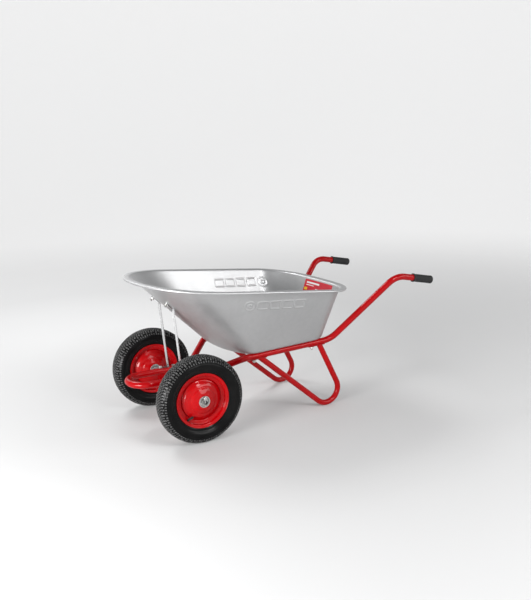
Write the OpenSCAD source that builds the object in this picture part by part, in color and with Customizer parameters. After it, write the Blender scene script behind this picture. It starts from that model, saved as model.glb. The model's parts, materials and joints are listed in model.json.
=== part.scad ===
// Two-wheel builder's wheelbarrow with a pressed steel tray.
// X runs from the front loop back to the handles, Y from the left side to the right, Z up.
// The origin is on the ground, under the middle of the whole barrow.

/* [Wheels] */
// Outside diameter of the tyre
tyre_d = 360; // [340:1:380]
// Width of the tyre
tyre_w = 82; // [76:1:88]
// Distance between the two wheels' centre planes
wheel_track = 515; // [500:1:540]
// Diameter over the rim's flanges
rim_d = 224; // [218:1:228]
// Length of the hub
hub_len = 85; // [80:1:95]
// Diameter of the axle
axle_d = 20; // [20:1:20]
// Wall of the axle tube
axle_wall = 2.5; // [2:0.5:4]

/* [Frame] */
// Outside diameter of the frame tube
frame_d = 28; // [26:1:30]
// Wall of the frame tube
frame_wall = 1.5; // [1.2:0.1:2]
// Distance between the two rails' centre lines
rail_span = 392; // [380:1:400]
// Height of the rails' centre line at the front bend
rail_front_z = 291; // [286:1:296]
// Height of the rails' centre line at the rear bend
rail_rear_z = 304; // [300:1:310]
// Distance between the grips' centre lines
grip_span = 632; // [600:1:660]
// Height of the bend in the handles
handle_top_z = 572; // [540:1:600]
// Distance between the two runs of the front loop
loop_span = 148; // [140:1:156]
// Height of the front loop
loop_z = 214; // [212:1:216]
// How far the front loop reaches ahead of the axle
loop_reach = 198; // [190:1:210]

/* [Legs] */
// Outside diameter of the leg tube
leg_d = 25; // [22:1:26]
// Bend radius at the foot of the leg
leg_bend_r = 63; // [60:1:66]

/* [Tray] */
// Width of the tray over the middle of its rolled edge
tray_w = 652; // [630:1:670]
// Height of the rolled edge at the front
rim_front_z = 630; // [620:1:640]
// Fall of the rolled edge per millimetre towards the back
rim_slope = 0.104; // [0.09:0.001:0.12]
// Width of the flange round the tray
flange_w = 24; // [20:1:28]
// Radius of the rolled edge
bead_r = 4; // [3.5:0.1:5]
// Thickness of the tray's sheet
sheet_t = 1.2; // [1:0.1:1.5]

/* [Grips] */
// Outside diameter of a grip
grip_d = 35; // [34:1:38]
// Length of a grip
grip_len = 108; // [100:1:120]

/* [Hidden] */
$fn = 48;

// Sides of the barrow, as the person who pushes it sees them
LEFT = -1;
RIGHT = 1;

// Colours
galvanised = "silver";
zinc = "gainsboro";
red = "crimson";
black = "#222222";
steel = "lightgray";

// Frame route, seen from the axle (X = 0) on the right side
axle_z = tyre_d / 2;
tube_r = frame_d / 2;
rail_y = rail_span / 2;
loop_y = loop_span / 2;
rail_front_x = 240;
rail_rear_x = 669;
loop_rear_x = 103;
handle_x = 942;
grip_end_x = 1134;
grip_end_z = handle_top_z - 38;
loop_bend = loop_y - 3;
frame_bends = [85, 90, 60, 60, loop_bend, loop_bend, 60, 60, 90, 85];

// The outermost points along X give the middle of the barrow
x_front = -loop_reach - tube_r;
x_rear = grip_end_x + 9;
centre_x = (x_front + x_rear) / 2;

// Tray outlines, half of each, from the front tip to the middle of the rear edge
// [front x, rear x, half width, half width at the rear, x of full width, roundness,
//  corner length, corner width, bow of the rear edge]
tray_y = tray_w / 2;
top_outline = [-163, 720, tray_y, tray_y + 10, 130, 2.05, 125, 190, 32];
bottom_outline = [198, 640, 218, 218, 300, 2.2, 75, 75, 8];
front_steps = 14;
side_steps = 4;
corner_steps = 8;
edge_steps = 4;
bottom_fillet = 13;
front_fillet = 17;
fold_r = 7;
rail_slope = (rail_rear_z - rail_front_z) / (rail_rear_x - rail_front_x);

// Fasteners
m8 = 8;
m8_hole_r = 4.4;
m8_nut_r = 7.5;
m8_nut_h = 6.5;
tray_bolt_x = [284, 572];
leg_top_x = [300, 605];
saddle_pitch = 60;

// Legs
leg_r = leg_d / 2;
leg_y = rail_y;
leg_wall = 1.5;
tab_t = 3;
tab_ahead = 16;
tab_behind = [40, 28];

// Wheels
rim_r = rim_d / 2;
seat_r = rim_r - 11;
well_r = rim_r - 26;
rim_half_w = 28;
rim_t = 1.8;
hub_od = 47;
bearing_od = 42;
bearing_w = 12;
race_r = 15.5;
race_lip = 2.2;
ball_r = 3.15;
groove_r = 3.25;
wheel_y = wheel_track / 2;
valve_angle = -131;

// ---- vectors and points ----

function unit(v) = v / norm(v);
function flip_y(p) = [p[0], -p[1], p[2]];
function at_rail(x) = rail_front_z + rail_slope * (x - rail_front_x);
function tray_floor_z(x) = at_rail(x) + tube_r + sheet_t / 2 + 0.05;
function bead_z(x) = rim_front_z - rim_slope * (x - top_outline[0]);
function quad(a, b, c, t) = (1 - t) * (1 - t) * a + 2 * t * (1 - t) * b + t * t * c;

// ---- placing ----

module placed() {
    translate([-centre_x, 0, 0]) children();
}

module on_side(side) {
    mirror([0, side < 0 ? 1 : 0, 0]) children();
}

// Stands its children with local Z along a direction, starting at a point
module along(from, dir) {
    d = unit(dir);
    translate(from) rotate([0, acos(d[2]), atan2(d[1], d[0])]) children();
}

module at_wheel(side) {
    placed() on_side(side) translate([0, wheel_y, axle_z]) rotate([-90, 0, 0]) children();
}

// ---- bent tubes ----

function bend_angle(p, i) = acos(unit(p[i] - p[i - 1]) * unit(p[i + 1] - p[i]));
function setback(p, r, i) =
    (i == 0 || i == len(p) - 1) ? 0 : r[i - 1] * tan(bend_angle(p, i) / 2);

// Solid bar of radius bar_r along the points, with a bend radius at each inner point.
// The bends are a hair thicker than the runs, and the runs reach a little way into them.
module bent_bar(p, r, bar_r) {
    reach = 2.4;
    last = len(p) - 1;
    for (i = [0 : last - 1]) {
        d = unit(p[i + 1] - p[i]);
        start = p[i] + d * (setback(p, r, i) - (i > 0 ? reach : 0));
        stop = p[i + 1] - d * (setback(p, r, i + 1) - (i + 1 < last ? reach : 0));
        along(start, d) cylinder(r = bar_r, h = norm(stop - start));
    }
    for (i = [1 : last - 1])
        bend(p[i], unit(p[i] - p[i - 1]), unit(p[i + 1] - p[i]), r[i - 1], bar_r + 0.08);
}

module bend(corner, u, w, bend_r, bar_r) {
    turn = acos(u * w);
    n = unit(w - u * (u * w));
    centre = corner - u * (bend_r * tan(turn / 2)) + n * bend_r;
    k = cross(-n, u);
    multmatrix([
        [-n[0], u[0], k[0], centre[0]],
        [-n[1], u[1], k[1], centre[1]],
        [-n[2], u[2], k[2], centre[2]],
        [0, 0, 0, 1]
    ])
        rotate_extrude(angle = turn) translate([bend_r, 0]) circle(r = bar_r);
}

module hex_nut(across_r, h, hole_r) {
    difference() {
        cylinder(r = across_r, h = h, $fn = 6);
        translate([0, 0, -1]) cylinder(r = hole_r, h = h + 2);
    }
}

// ---- tray ----

function front_part(o) = [for (i = [0 : front_steps])
    let (a = 90 - 90 * i / front_steps)
    [o[4] - (o[4] - o[0]) * pow(sin(a), 2 / o[5]), o[2] * pow(cos(a), 2 / o[5])]];

function side_part(o) = [for (i = [1 : side_steps])
    let (t = i / side_steps, x = o[4] + (o[1] - o[6] - o[4]) * t)
    [x, o[2] + (o[3] - o[2]) * t]];

function corner_part(o) = [for (i = [1 : corner_steps])
    let (a = 90 * i / corner_steps)
    [o[1] - o[6] + o[6] * sin(a), o[3] - o[7] + o[7] * cos(a)]];

function edge_part(o) = [for (i = [1 : edge_steps])
    [o[1], (o[3] - o[7]) * (1 - i / edge_steps)]];

function bowed(o, q) = [
    q[0] + o[8] * (1 - pow(q[1] / o[2], 2)) * max(0, (q[0] - o[4]) / (o[1] - o[4])), q[1]];

function half_outline(o) =
    [for (q = concat(front_part(o), side_part(o), corner_part(o), edge_part(o))) bowed(o, q)];

// Whole outline: out along the left side and back along the right
function whole_outline(half) = concat(
    [for (q = half) [q[0], -q[1]]],
    [for (i = [len(half) - 2 : -1 : 1]) half[i]]);

bead_line = whole_outline(half_outline(top_outline));
floor_line = whole_outline(half_outline(bottom_outline));
ring_n = len(bead_line);

function ring_at(list, i) = list[(i + ring_n) % ring_n];

// Outward direction in plan at each point of the rolled edge
inside_x = 300;
function out_dir(i) =
    let (t = ring_at(bead_line, i + 1) - ring_at(bead_line, i - 1))
    unit([-t[1], t[0], 0]) * (cross([t[0], t[1], 0], [bead_line[i][0] - inside_x, bead_line[i][1], 0])[2]
        > 0 ? 1 : -1);

function bead_point(i) = [bead_line[i][0], bead_line[i][1], bead_z(bead_line[i][0])];
function fold_point(i) = bead_point(i) - flange_w * out_dir(i) + [0, 0, bead_r];
function floor_point(i) = [floor_line[i][0], floor_line[i][1], tray_floor_z(floor_line[i][0])];

// Middle surface of the sheet: one row of points at each place round the tray.
// Its bottom edge is rounded more at the front than at the sides.
curl_angles = [90, 45, 0, -45, -90, -130, -165];
function sheet_row(i) =
    let (w = fold_point(i), b = floor_point(i), up = unit(w - b), n = out_dir(i),
         round = bottom_fillet + front_fillet * pow(max(0, -n[0]), 2),
         c = bead_point(i), in_x = b[0] - round * n[0],
         inner = [in_x, b[1] - round * n[1], tray_floor_z(in_x)])
    concat(
        [for (q = [0 : 4]) quad(inner, b, b + round * up, q / 4)],
        [(w + b) / 2],
        [for (q = [0 : 2]) quad(w - fold_r * up, w, w + fold_r * n, q / 2)],
        [for (a = curl_angles) c + bead_r * (cos(a) * n + [0, 0, sin(a)])]);

sheet = [for (i = [0 : ring_n - 1]) sheet_row(i)];
row_n = len(sheet[0]);

function sheet_normal(i, k) =
    let (round = ring_at(sheet, i + 1)[k] - ring_at(sheet, i - 1)[k],
         up = sheet[i][min(k + 1, row_n - 1)] - sheet[i][max(k - 1, 0)])
    unit(cross(round, up));

normals = [for (i = [0 : ring_n - 1]) [for (k = [0 : row_n - 1]) sheet_normal(i, k)]];

function skin(offset) = [for (i = [0 : ring_n - 1]) for (k = [0 : row_n - 1])
    sheet[i][k] + (k == 0 ? [0, 0, -offset] : offset * normals[i][k])];

floor_mid_x = 420;
function floor_centre(offset) = [floor_mid_x, 0, tray_floor_z(floor_mid_x) - offset];

module tray_shell() {
    all = ring_n * row_n;
    points = concat(skin(sheet_t / 2), skin(-sheet_t / 2),
        [floor_centre(sheet_t / 2), floor_centre(-sheet_t / 2)]);
    faces = concat(
        [for (i = [0 : ring_n - 1]) for (k = [0 : row_n - 2]) for (half = [0, 1])
            let (a = i * row_n + k, b = ((i + 1) % ring_n) * row_n + k)
            half == 0 ? [a, a + 1, b + 1] : [a, b + 1, b]],
        [for (i = [0 : ring_n - 1]) for (k = [0 : row_n - 2]) for (half = [0, 1])
            let (a = all + i * row_n + k, b = all + ((i + 1) % ring_n) * row_n + k)
            half == 0 ? [a, b + 1, a + 1] : [a, b, b + 1]],
        [for (i = [0 : ring_n - 1]) for (half = [0, 1])
            let (a = i * row_n + row_n - 1, b = ((i + 1) % ring_n) * row_n + row_n - 1)
            half == 0 ? [a, all + a, all + b] : [a, all + b, b]],
        [for (i = [0 : ring_n - 1])
            [2 * all, i * row_n, ((i + 1) % ring_n) * row_n]],
        [for (i = [0 : ring_n - 1])
            [2 * all + 1, all + ((i + 1) % ring_n) * row_n, all + i * row_n]]);
    polyhedron(points, faces);
}

module tray() {
    color(galvanised) placed() difference() {
        tray_shell();
        for (side = [LEFT, RIGHT]) {
            for (x = tray_bolt_x)
                translate([x, side * rail_y, at_rail(x)]) cylinder(r = m8_hole_r, h = 40);
            stay_bolt_place(side) translate([0, 0, -20]) cylinder(r = m8_hole_r, h = 40);
        }
    }
}

// Wire inside the rolled edge, one ring of points at each place round the tray
module rim_wire() {
    wire_r = bead_r - sheet_t / 2 - 0.25;
    sides = 8;
    points = [for (i = [0 : ring_n - 1]) for (j = [0 : sides - 1])
        bead_point(i) + wire_r * (cos(360 * j / sides) * out_dir(i) + [0, 0, sin(360 * j / sides)])];
    faces = [for (i = [0 : ring_n - 1]) for (j = [0 : sides - 1]) for (half = [0, 1])
        let (a = i * sides, b = ((i + 1) % ring_n) * sides, n = (j + 1) % sides)
        half == 0 ? [a + j, a + n, b + n] : [a + j, b + n, b + j]];
    color(zinc) placed() polyhedron(points, faces);
}

// Thin label on the inside of the rear wall, a little to the left of its middle
module label() {
    paste_t = 0.05;
    label_t = 0.3;
    first = front_steps + side_steps + corner_steps;
    cols = 2 * edge_steps - 1;
    low = 0.46;
    high = 0.98;
    function spot(i, t, depth) =
        sheet[i][4] * (1 - t) + sheet[i][6] * t - normals[i][5] * depth;
    points = [for (depth = [sheet_t / 2 + paste_t, sheet_t / 2 + paste_t + label_t]) for (t = [low, high])
        for (c = [0 : cols - 1]) spot(first + c, t, depth)];
    n = cols;
    faces = concat(
        [for (c = [0 : n - 2]) for (half = [0, 1])
            half == 0 ? [c, n + c, n + c + 1] : [c, n + c + 1, c + 1]],
        [for (c = [0 : n - 2]) for (half = [0, 1])
            let (a = 2 * n + c) half == 0 ? [a, a + n + 1, a + n] : [a, a + 1, a + n + 1]],
        [for (c = [0 : n - 2]) [c, c + 1, 2 * n + c + 1, 2 * n + c]],
        [for (c = [0 : n - 2]) [n + c, 3 * n + c, 3 * n + c + 1, n + c + 1]],
        [[0, 2 * n, 3 * n, n]],
        [[n - 1, 2 * n - 1, 4 * n - 1, 3 * n - 1]]);
    color(red) placed() polyhedron(points, faces);
}

// ---- frame ----

frame_half = [
    [grip_end_x, grip_span / 2, grip_end_z],
    [handle_x, grip_span / 2 - 5, handle_top_z],
    [rail_rear_x, rail_y, rail_rear_z],
    [rail_front_x, rail_y, rail_front_z],
    [loop_rear_x, loop_y, loop_z],
    [-loop_reach, loop_y, loop_z]
];
frame_route = concat(frame_half, [for (i = [len(frame_half) - 1 : -1 : 0]) flip_y(frame_half[i])]);
grip_dir = unit(frame_half[0] - frame_half[1]);

// A place on the top of a rail, with local Z square to the rail
module at_rail_spot(side, x) {
    translate([x, side * rail_y, at_rail(x)]) rotate([0, -atan(rail_slope), 0]) children();
}

module frame_tube() {
    stretch = concat([frame_route[0] + grip_dir], [for (i = [1 : len(frame_route) - 2]) frame_route[i]],
        [flip_y(frame_route[0] + grip_dir)]);
    color(red) placed() difference() {
        bent_bar(frame_route, frame_bends, tube_r);
        bent_bar(stretch, frame_bends, tube_r - frame_wall);
        for (side = [LEFT, RIGHT]) {
            for (x = tray_bolt_x)
                at_rail_spot(side, x) cylinder(r = m8_hole_r, h = 60, center = true);
            for (x = [-saddle_pitch / 2, saddle_pitch / 2])
                translate([x, side * loop_y, loop_z]) cylinder(r = m8_hole_r, h = 60, center = true);
        }
    }
}

module grip(side) {
    end_t = 5;
    fit = 0.05;
    color(black) placed() on_side(side)
        along(frame_half[0] + end_t * grip_dir, -grip_dir) difference() {
            union() {
                translate([0, 0, 3]) cylinder(r = grip_d / 2, h = grip_len - 3);
                cylinder(r1 = grip_d / 2 - 3, r2 = grip_d / 2, h = 3);
                translate([0, 0, grip_len - 5]) cylinder(r = grip_d / 2 + 1.5, h = 5);
            }
            translate([0, 0, end_t]) cylinder(r = tube_r + fit, h = grip_len);
        }
}

module grip_left() {
    grip(LEFT);
}

module grip_right() {
    grip(RIGHT);
}

// ---- legs ----

foot_x = 646;
foot_centre = [foot_x, leg_bend_r + leg_r];
leg_tops = [for (x = leg_top_x) [x, at_rail(x)]];

// Direction from a leg's top to where its run touches the circle of the foot bend
function touch_dir(top, turn) =
    let (d = foot_centre - top, a = turn * asin(leg_bend_r / norm(d)))
    unit([d[0] * cos(a) - d[1] * sin(a), d[0] * sin(a) + d[1] * cos(a)]);

// Where the two runs would meet without the bend
function leg_corner() =
    let (a = touch_dir(leg_tops[0], -1), b = touch_dir(leg_tops[1], 1), gap = leg_tops[1] - leg_tops[0],
         s = (gap[0] * b[1] - gap[1] * b[0]) / (a[0] * b[1] - a[1] * b[0]))
    leg_tops[0] + s * a;

leg_route = [for (p = [leg_tops[0], leg_corner(), leg_tops[1]]) [p[0], leg_y, p[1]]];

// Curved tab that hugs the underside of the rail between two places
module leg_tab(x0, x1) {
    tab_cut = 6;
    translate([x0, leg_y, at_rail(x0)]) rotate([0, 90 - atan(rail_slope), 0]) intersection() {
        difference() {
            cylinder(r = tube_r + tab_t, h = x1 - x0);
            translate([0, 0, -1]) cylinder(r = tube_r + 0.05, h = x1 - x0 + 2);
        }
        translate([tab_cut, -leg_d, 0]) cube([leg_d, 2 * leg_d, x1 - x0]);
    }
}

module leg(side) {
    color(red) placed() on_side(side) difference() {
        union() {
            difference() {
                bent_bar(leg_route, [leg_bend_r], leg_r);
                bent_bar(leg_route, [leg_bend_r], leg_r - leg_wall);
                translate([0, leg_y, at_rail(0)]) rotate([0, 90 - atan(rail_slope), 0])
                    cylinder(r = tube_r + tab_t - 0.5, h = 900);
            }
            for (i = [0, 1]) leg_tab(tray_bolt_x[i] - tab_ahead, leg_top_x[i] + tab_behind[i]);
        }
        for (x = tray_bolt_x) at_rail_spot(RIGHT, x) cylinder(r = m8_hole_r, h = 60, center = true);
    }
}

module leg_left() {
    leg(LEFT);
}

module leg_right() {
    leg(RIGHT);
}

// ---- bolts through the tray, the rails and the legs ----

tray_seat = tube_r + sheet_t + 0.1;
tab_seat = tube_r + tab_t;
washer_t = 1.6;
washer_r = 8;

module carriage_bolt(seat, reach) {
    head_h = 4.5;
    head_r = 8;
    dome_r = 11;
    intersection() {
        translate([0, 0, seat]) cylinder(r = head_r, h = head_h);
        translate([0, 0, seat + head_h - dome_r]) sphere(r = dome_r);
    }
    translate([0, 0, -reach]) cylinder(r = m8 / 2, h = reach + seat + 1);
}

module at_tray_bolts() {
    placed() for (side = [LEFT, RIGHT]) for (x = tray_bolt_x) at_rail_spot(side, x) children();
}

module tray_bolts() {
    color(zinc) at_tray_bolts() carriage_bolt(tray_seat, tab_seat + washer_t + m8_nut_h + 4);
}

module tray_washers() {
    color(zinc) at_tray_bolts() translate([0, 0, -tab_seat - washer_t - 0.02]) difference() {
        cylinder(r = washer_r, h = washer_t);
        translate([0, 0, -1]) cylinder(r = m8_hole_r, h = washer_t + 2);
    }
}

module tray_nuts() {
    color(zinc) at_tray_bolts() translate([0, 0, -tab_seat - washer_t - m8_nut_h - 0.04])
        hex_nut(m8_nut_r, m8_nut_h, m8 / 2 + 0.05);
}

// ---- stays ----

stay_w = 18;
stay_t = 3;
stay_gap = 0.4;
stay_y = loop_y;
bolt_level = 0.72;
bend_level = 0.642;

// One coordinate, where a line of points crosses a distance from the middle plane
function across(line, axis, y) = lookup(y, [for (q = line) [-q[1], q[axis]]]);

// Level line round the tray's front slope at a share of its height
function slope_line(t) = [for (i = [0 : front_steps]) floor_point(i) * (1 - t) + fold_point(i) * t];

// A point of the front slope in the stay's own plane
function slope_point(t) =
    let (p = slope_line(t)) [across(p, 0, stay_y), stay_y, across(p, 2, stay_y)];

// Direction along the level line there
function slope_side(t) =
    let (p = slope_line(t))
    [for (axis = [0, 1, 2])
        axis == 1 ? stay_w : across(p, axis, stay_y + stay_w / 2) - across(p, axis, stay_y - stay_w / 2)];

slope_up = unit(slope_point(0.8) - slope_point(0.6));
slope_out = unit(cross(slope_up, slope_side(bolt_level)));
slope_across = cross(slope_up, slope_out);

// Local X across the stay, Y up the slope and Z out of the tray's outer face
module at_slope(t) {
    p = slope_point(t);
    multmatrix([
        [slope_across[0], slope_up[0], slope_out[0], p[0]],
        [slope_across[1], slope_up[1], slope_out[1], p[1]],
        [slope_across[2], slope_up[2], slope_out[2], p[2]],
        [0, 0, 0, 1]
    ])
        children();
}

module stay_bolt_place(side) {
    on_side(side) at_slope(bolt_level) children();
}

tab_low = norm(slope_point(bolt_level) - slope_point(bend_level));
stay_top = slope_point(bend_level) + (sheet_t / 2 + stay_gap + stay_t / 2) * slope_out;
foot_z = loop_z + tube_r + 0.05;
stay_bottom = [8, stay_y, foot_z + stay_t / 2];
run = stay_bottom - stay_top;
run_dir = unit([run[0], 0, run[2]]);

// Channel section of the stay's long run: a shallow V with its crease to the front
module stay_section() {
    w = stay_w / 2;
    rise = 5;
    polygon([[0, -w], [-rise, 0], [0, w], [-stay_t, w], [-rise - stay_t, 0], [-stay_t, -w]]);
}

module on_run(s) {
    p = stay_top + s * [run_dir[0], 0, run_dir[2]];
    multmatrix([
        [-run_dir[2], 0, run_dir[0], p[0]],
        [0, -1, 0, stay_y],
        [run_dir[0], 0, run_dir[2], p[2]],
        [0, 0, 0, 1]
    ])
        children();
}

// Plate with one round end and a bolt hole there, from the origin down to -Y
module holed_tab(length) {
    difference() {
        union() {
            translate([-stay_w / 2, -length, 0]) cube([stay_w, length, stay_t]);
            cylinder(r = stay_w / 2, h = stay_t);
        }
        translate([0, 0, -1]) cylinder(r = m8_hole_r, h = stay_t + 2);
    }
}

// Joins an end of the long run to the plate beyond it
module stay_blend() {
    hull() children();
}

module stay(side) {
    ease = 12;
    proud = 0.1;
    run_len = norm([run[0], 0, run[2]]);
    foot_len = stay_bottom[0] + saddle_pitch / 2;
    color(galvanised) placed() on_side(side) {
        at_slope(bolt_level) translate([0, 0, sheet_t / 2 + stay_gap]) holed_tab(tab_low);
        stay_blend() {
            at_slope(bend_level) translate([-stay_w / 2 - proud, 0, sheet_t / 2 + stay_gap - proud])
                cube([stay_w + 2 * proud, 2, stay_t + 2 * proud]);
            on_run(ease) linear_extrude(1) offset(delta = proud) stay_section();
        }
        on_run(ease) linear_extrude(run_len - 2 * ease) stay_section();
        stay_blend() {
            on_run(run_len - ease - 1) linear_extrude(1) offset(delta = proud) stay_section();
            translate([stay_bottom[0] - 2, stay_y - stay_w / 2 - proud, foot_z - proud + 0.1])
                cube([2, stay_w + 2 * proud, stay_t + 2 * proud]);
        }
        translate([-saddle_pitch / 2, stay_y, foot_z + 0.1]) rotate([0, 0, 90]) holed_tab(foot_len);
    }
}

module stay_left() {
    stay(LEFT);
}

module stay_right() {
    stay(RIGHT);
}

module stay_bolts() {
    color(zinc) placed() for (side = [LEFT, RIGHT]) stay_bolt_place(side) mirror([0, 0, 1])
        carriage_bolt(sheet_t / 2 + 0.6, sheet_t / 2 + stay_gap + stay_t + m8_nut_h + 9);
}

module stay_nuts() {
    color(zinc) placed() for (side = [LEFT, RIGHT]) stay_bolt_place(side)
        translate([0, 0, sheet_t / 2 + stay_gap + stay_t + 0.02]) hex_nut(m8_nut_r, m8_nut_h, m8 / 2 + 0.05);
}

// ---- axle and what holds it ----

axle_r = axle_d / 2;
axle_end = wheel_y + hub_len / 2 + 14;
collar_w = 10.5;
collar_r = 16;
hub_washer_t = 2.5;
hub_washer_r = 13;
pin_r = 2;
saddle_w = 24;
saddle_l = saddle_pitch + 18;
strap_t = 4;
hub_out = wheel_y + hub_len / 2;
hub_in = wheel_y - hub_len / 2;
pin_y = hub_out + 7;

module along_y(y0, y1, r) {
    translate([0, y0, axle_z]) rotate([-90, 0, 0]) cylinder(r = r, h = y1 - y0);
}

module collar(y0, y1, r) {
    difference() {
        along_y(y0, y1, r);
        along_y(y0 - 1, y1 + 1, axle_r + 0.03);
    }
}

module axle() {
    color(steel) placed() difference() {
        along_y(-axle_end, axle_end, axle_r);
        along_y(-axle_end - 1, axle_end + 1, axle_r - axle_wall);
        for (side = [LEFT, RIGHT])
            translate([0, side * pin_y, axle_z]) cylinder(r = pin_r + 0.2, h = 40, center = true);
    }
}

module saddle_holes() {
    for (x = [-saddle_pitch / 2, saddle_pitch / 2])
        translate([x, loop_y, axle_z]) cylinder(r = m8_hole_r, h = 100, center = true);
}

module axle_saddle(side) {
    color(red) placed() on_side(side) difference() {
        translate([-saddle_l / 2, loop_y - saddle_w / 2, axle_z])
            cube([saddle_l, saddle_w, loop_z - axle_z]);
        translate([-100, loop_y, loop_z]) rotate([0, 90, 0]) cylinder(r = tube_r + 0.05, h = 200);
        along_y(0, 200, axle_r + 0.03);
        saddle_holes();
    }
}

module axle_strap(side) {
    color(red) placed() on_side(side) translate([0, 0, -0.05]) difference() {
        union() {
            translate([-saddle_l / 2, loop_y - saddle_w / 2, axle_z - strap_t])
                cube([saddle_l, saddle_w, strap_t]);
            intersection() {
                along_y(loop_y - saddle_w / 2, loop_y + saddle_w / 2, axle_r + strap_t);
                translate([-50, 0, axle_z - 50]) cube([100, 200, 50]);
            }
        }
        along_y(0, 200, axle_r + 0.05);
        saddle_holes();
    }
}

module axle_saddle_left() {
    axle_saddle(LEFT);
}

module axle_saddle_right() {
    axle_saddle(RIGHT);
}

module axle_strap_left() {
    axle_strap(LEFT);
}

module axle_strap_right() {
    axle_strap(RIGHT);
}

// The front bolt of each saddle also holds the foot of the stay
module axle_bolts() {
    color(zinc) placed() for (side = [LEFT, RIGHT]) for (x = [-saddle_pitch / 2, saddle_pitch / 2])
        translate([x, side * loop_y, 0]) {
            seat = loop_z + tube_r + (x < 0 ? stay_t + 0.2 : 0.05);
            translate([0, 0, seat]) cylinder(r = m8_nut_r, h = 5.5, $fn = 6);
            translate([0, 0, axle_z - strap_t - m8_nut_h - 5])
                cylinder(r = m8 / 2, h = seat - axle_z + strap_t + m8_nut_h + 6);
        }
}

module axle_nuts() {
    color(zinc) placed() for (side = [LEFT, RIGHT]) for (x = [-saddle_pitch / 2, saddle_pitch / 2])
        translate([x, side * loop_y, axle_z - strap_t - m8_nut_h - 0.1])
            hex_nut(m8_nut_r, m8_nut_h, m8 / 2 + 0.05);
}

module axle_collars() {
    color(steel) placed() for (side = [LEFT, RIGHT]) on_side(side) difference() {
        collar(hub_in - hub_washer_t - collar_w, hub_in - hub_washer_t, collar_r);
        translate([0, hub_in - 8, axle_z]) cylinder(r = 2.5, h = 40);
    }
}

module hub_washers() {
    color(zinc) placed() for (side = [LEFT, RIGHT]) on_side(side) {
        collar(hub_out + 0.02, hub_out + hub_washer_t, hub_washer_r);
        collar(hub_in - hub_washer_t + 0.02, hub_in - 0.02, hub_washer_r);
    }
}

module split_pins() {
    color(zinc) placed() for (side = [LEFT, RIGHT]) translate([0, side * pin_y, axle_z]) {
        translate([0, 0, -axle_r - 7]) cylinder(r = pin_r, h = 2 * axle_r + 10);
        translate([0, 0, axle_r + 6]) rotate([90, 0, 0]) rotate_extrude() translate([4.5, 0])
            circle(r = 0.8 * pin_r);
    }
}

// ---- hub and bearings: local Z is the wheel's axis, away from the barrow ----

module ring(r0, r1, z0, z1) {
    rotate_extrude() translate([r0, z0]) square([r1 - r0, z1 - z0]);
}

bearing_mid = hub_len / 2 - bearing_w / 2;

module bearing_inner(side) {
    color(steel) at_wheel(side) for (z = [-bearing_mid, bearing_mid]) difference() {
        ring(axle_r + 0.02, race_r - race_lip, z - bearing_w / 2, z + bearing_w / 2);
        translate([0, 0, z]) rotate_extrude() translate([race_r, 0]) circle(r = groove_r);
    }
}

module bearing_outer(side) {
    color(steel) at_wheel(side) for (z = [-bearing_mid, bearing_mid]) difference() {
        ring(race_r + race_lip, bearing_od / 2, z - bearing_w / 2, z + bearing_w / 2);
        translate([0, 0, z]) rotate_extrude() translate([race_r, 0]) circle(r = groove_r);
    }
}

module bearing_balls(side) {
    balls = 9;
    color(steel) at_wheel(side) for (z = [-bearing_mid, bearing_mid]) for (i = [0 : balls - 1])
        rotate(360 * i / balls) translate([race_r, 0, z]) sphere(r = ball_r);
}

module spacer(side) {
    half = bearing_mid - bearing_w / 2 - 0.02;
    color(steel) at_wheel(side) ring(axle_r + 0.1, race_r - 2.7, -half, half);
}

module hub(side) {
    color(zinc) at_wheel(side) ring(bearing_od / 2 + 0.02, hub_od / 2, -hub_len / 2, hub_len / 2);
}

// ---- rim and tyre ----

// Outline of a bent sheet: the points along one face and back along the other
function mitre(p, i) =
    let (a = i > 0 ? unit(p[i] - p[i - 1]) : unit(p[1] - p[0]),
         b = i < len(p) - 1 ? unit(p[i + 1] - p[i]) : a, m = unit(a + b))
    [-m[1], m[0]] / max(0.5, a * m);

module sheet_section(p, t) {
    polygon(concat(
        [for (i = [0 : len(p) - 1]) p[i] + t / 2 * mitre(p, i)],
        [for (i = [len(p) - 1 : -1 : 0]) p[i] - t / 2 * mitre(p, i)]));
}

hoop_half = [[well_r, 0], [well_r, 8], [well_r + 2, 10.5], [seat_r - 2, 13.5], [seat_r, 16],
    [seat_r, 23], [seat_r + 1.5, 26], [seat_r + 4, rim_half_w - 1], [rim_r - 2, rim_half_w],
    [rim_r, rim_half_w + 1.5]];
hoop_line = concat([for (i = [len(hoop_half) - 1 : -1 : 1]) [hoop_half[i][0], -hoop_half[i][1]]],
    hoop_half);

valve_from = [105.1, 4.8];
valve_len = 30.4;
valve_dir = unit([-35, 33]);

// Local Z along the valve stem, from inside the tyre out towards the hub
module at_valve(side) {
    at_wheel(side) rotate(-valve_angle) translate([valve_from[0], 0, valve_from[1]])
        rotate([0, atan2(valve_dir[0], valve_dir[1]), 0]) children();
}

module rim_hoop(side) {
    color(red) difference() {
        at_wheel(side) rotate_extrude() sheet_section(hoop_line, rim_t);
        at_valve(side) cylinder(r = 4.1, h = 20);
    }
}

disc_line = [[well_r - rim_t - 0.1, 3], [well_r - rim_t - 0.1, 10.5], [well_r - 4, 13], [well_r - 7, 14.5],
    [well_r - 13, 19], [well_r - 22, 24.5], [well_r - 33, 29.5], [43, 34], [36, 37.5],
    [31, 39], [27, 39.6], [hub_od / 2 + rim_t / 2 + 0.2, 40.5]];

module disc(side, way) {
    color(red) at_wheel(side) mirror([0, 0, way < 0 ? 1 : 0])
        rotate_extrude() sheet_section(disc_line, rim_t);
}

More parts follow.
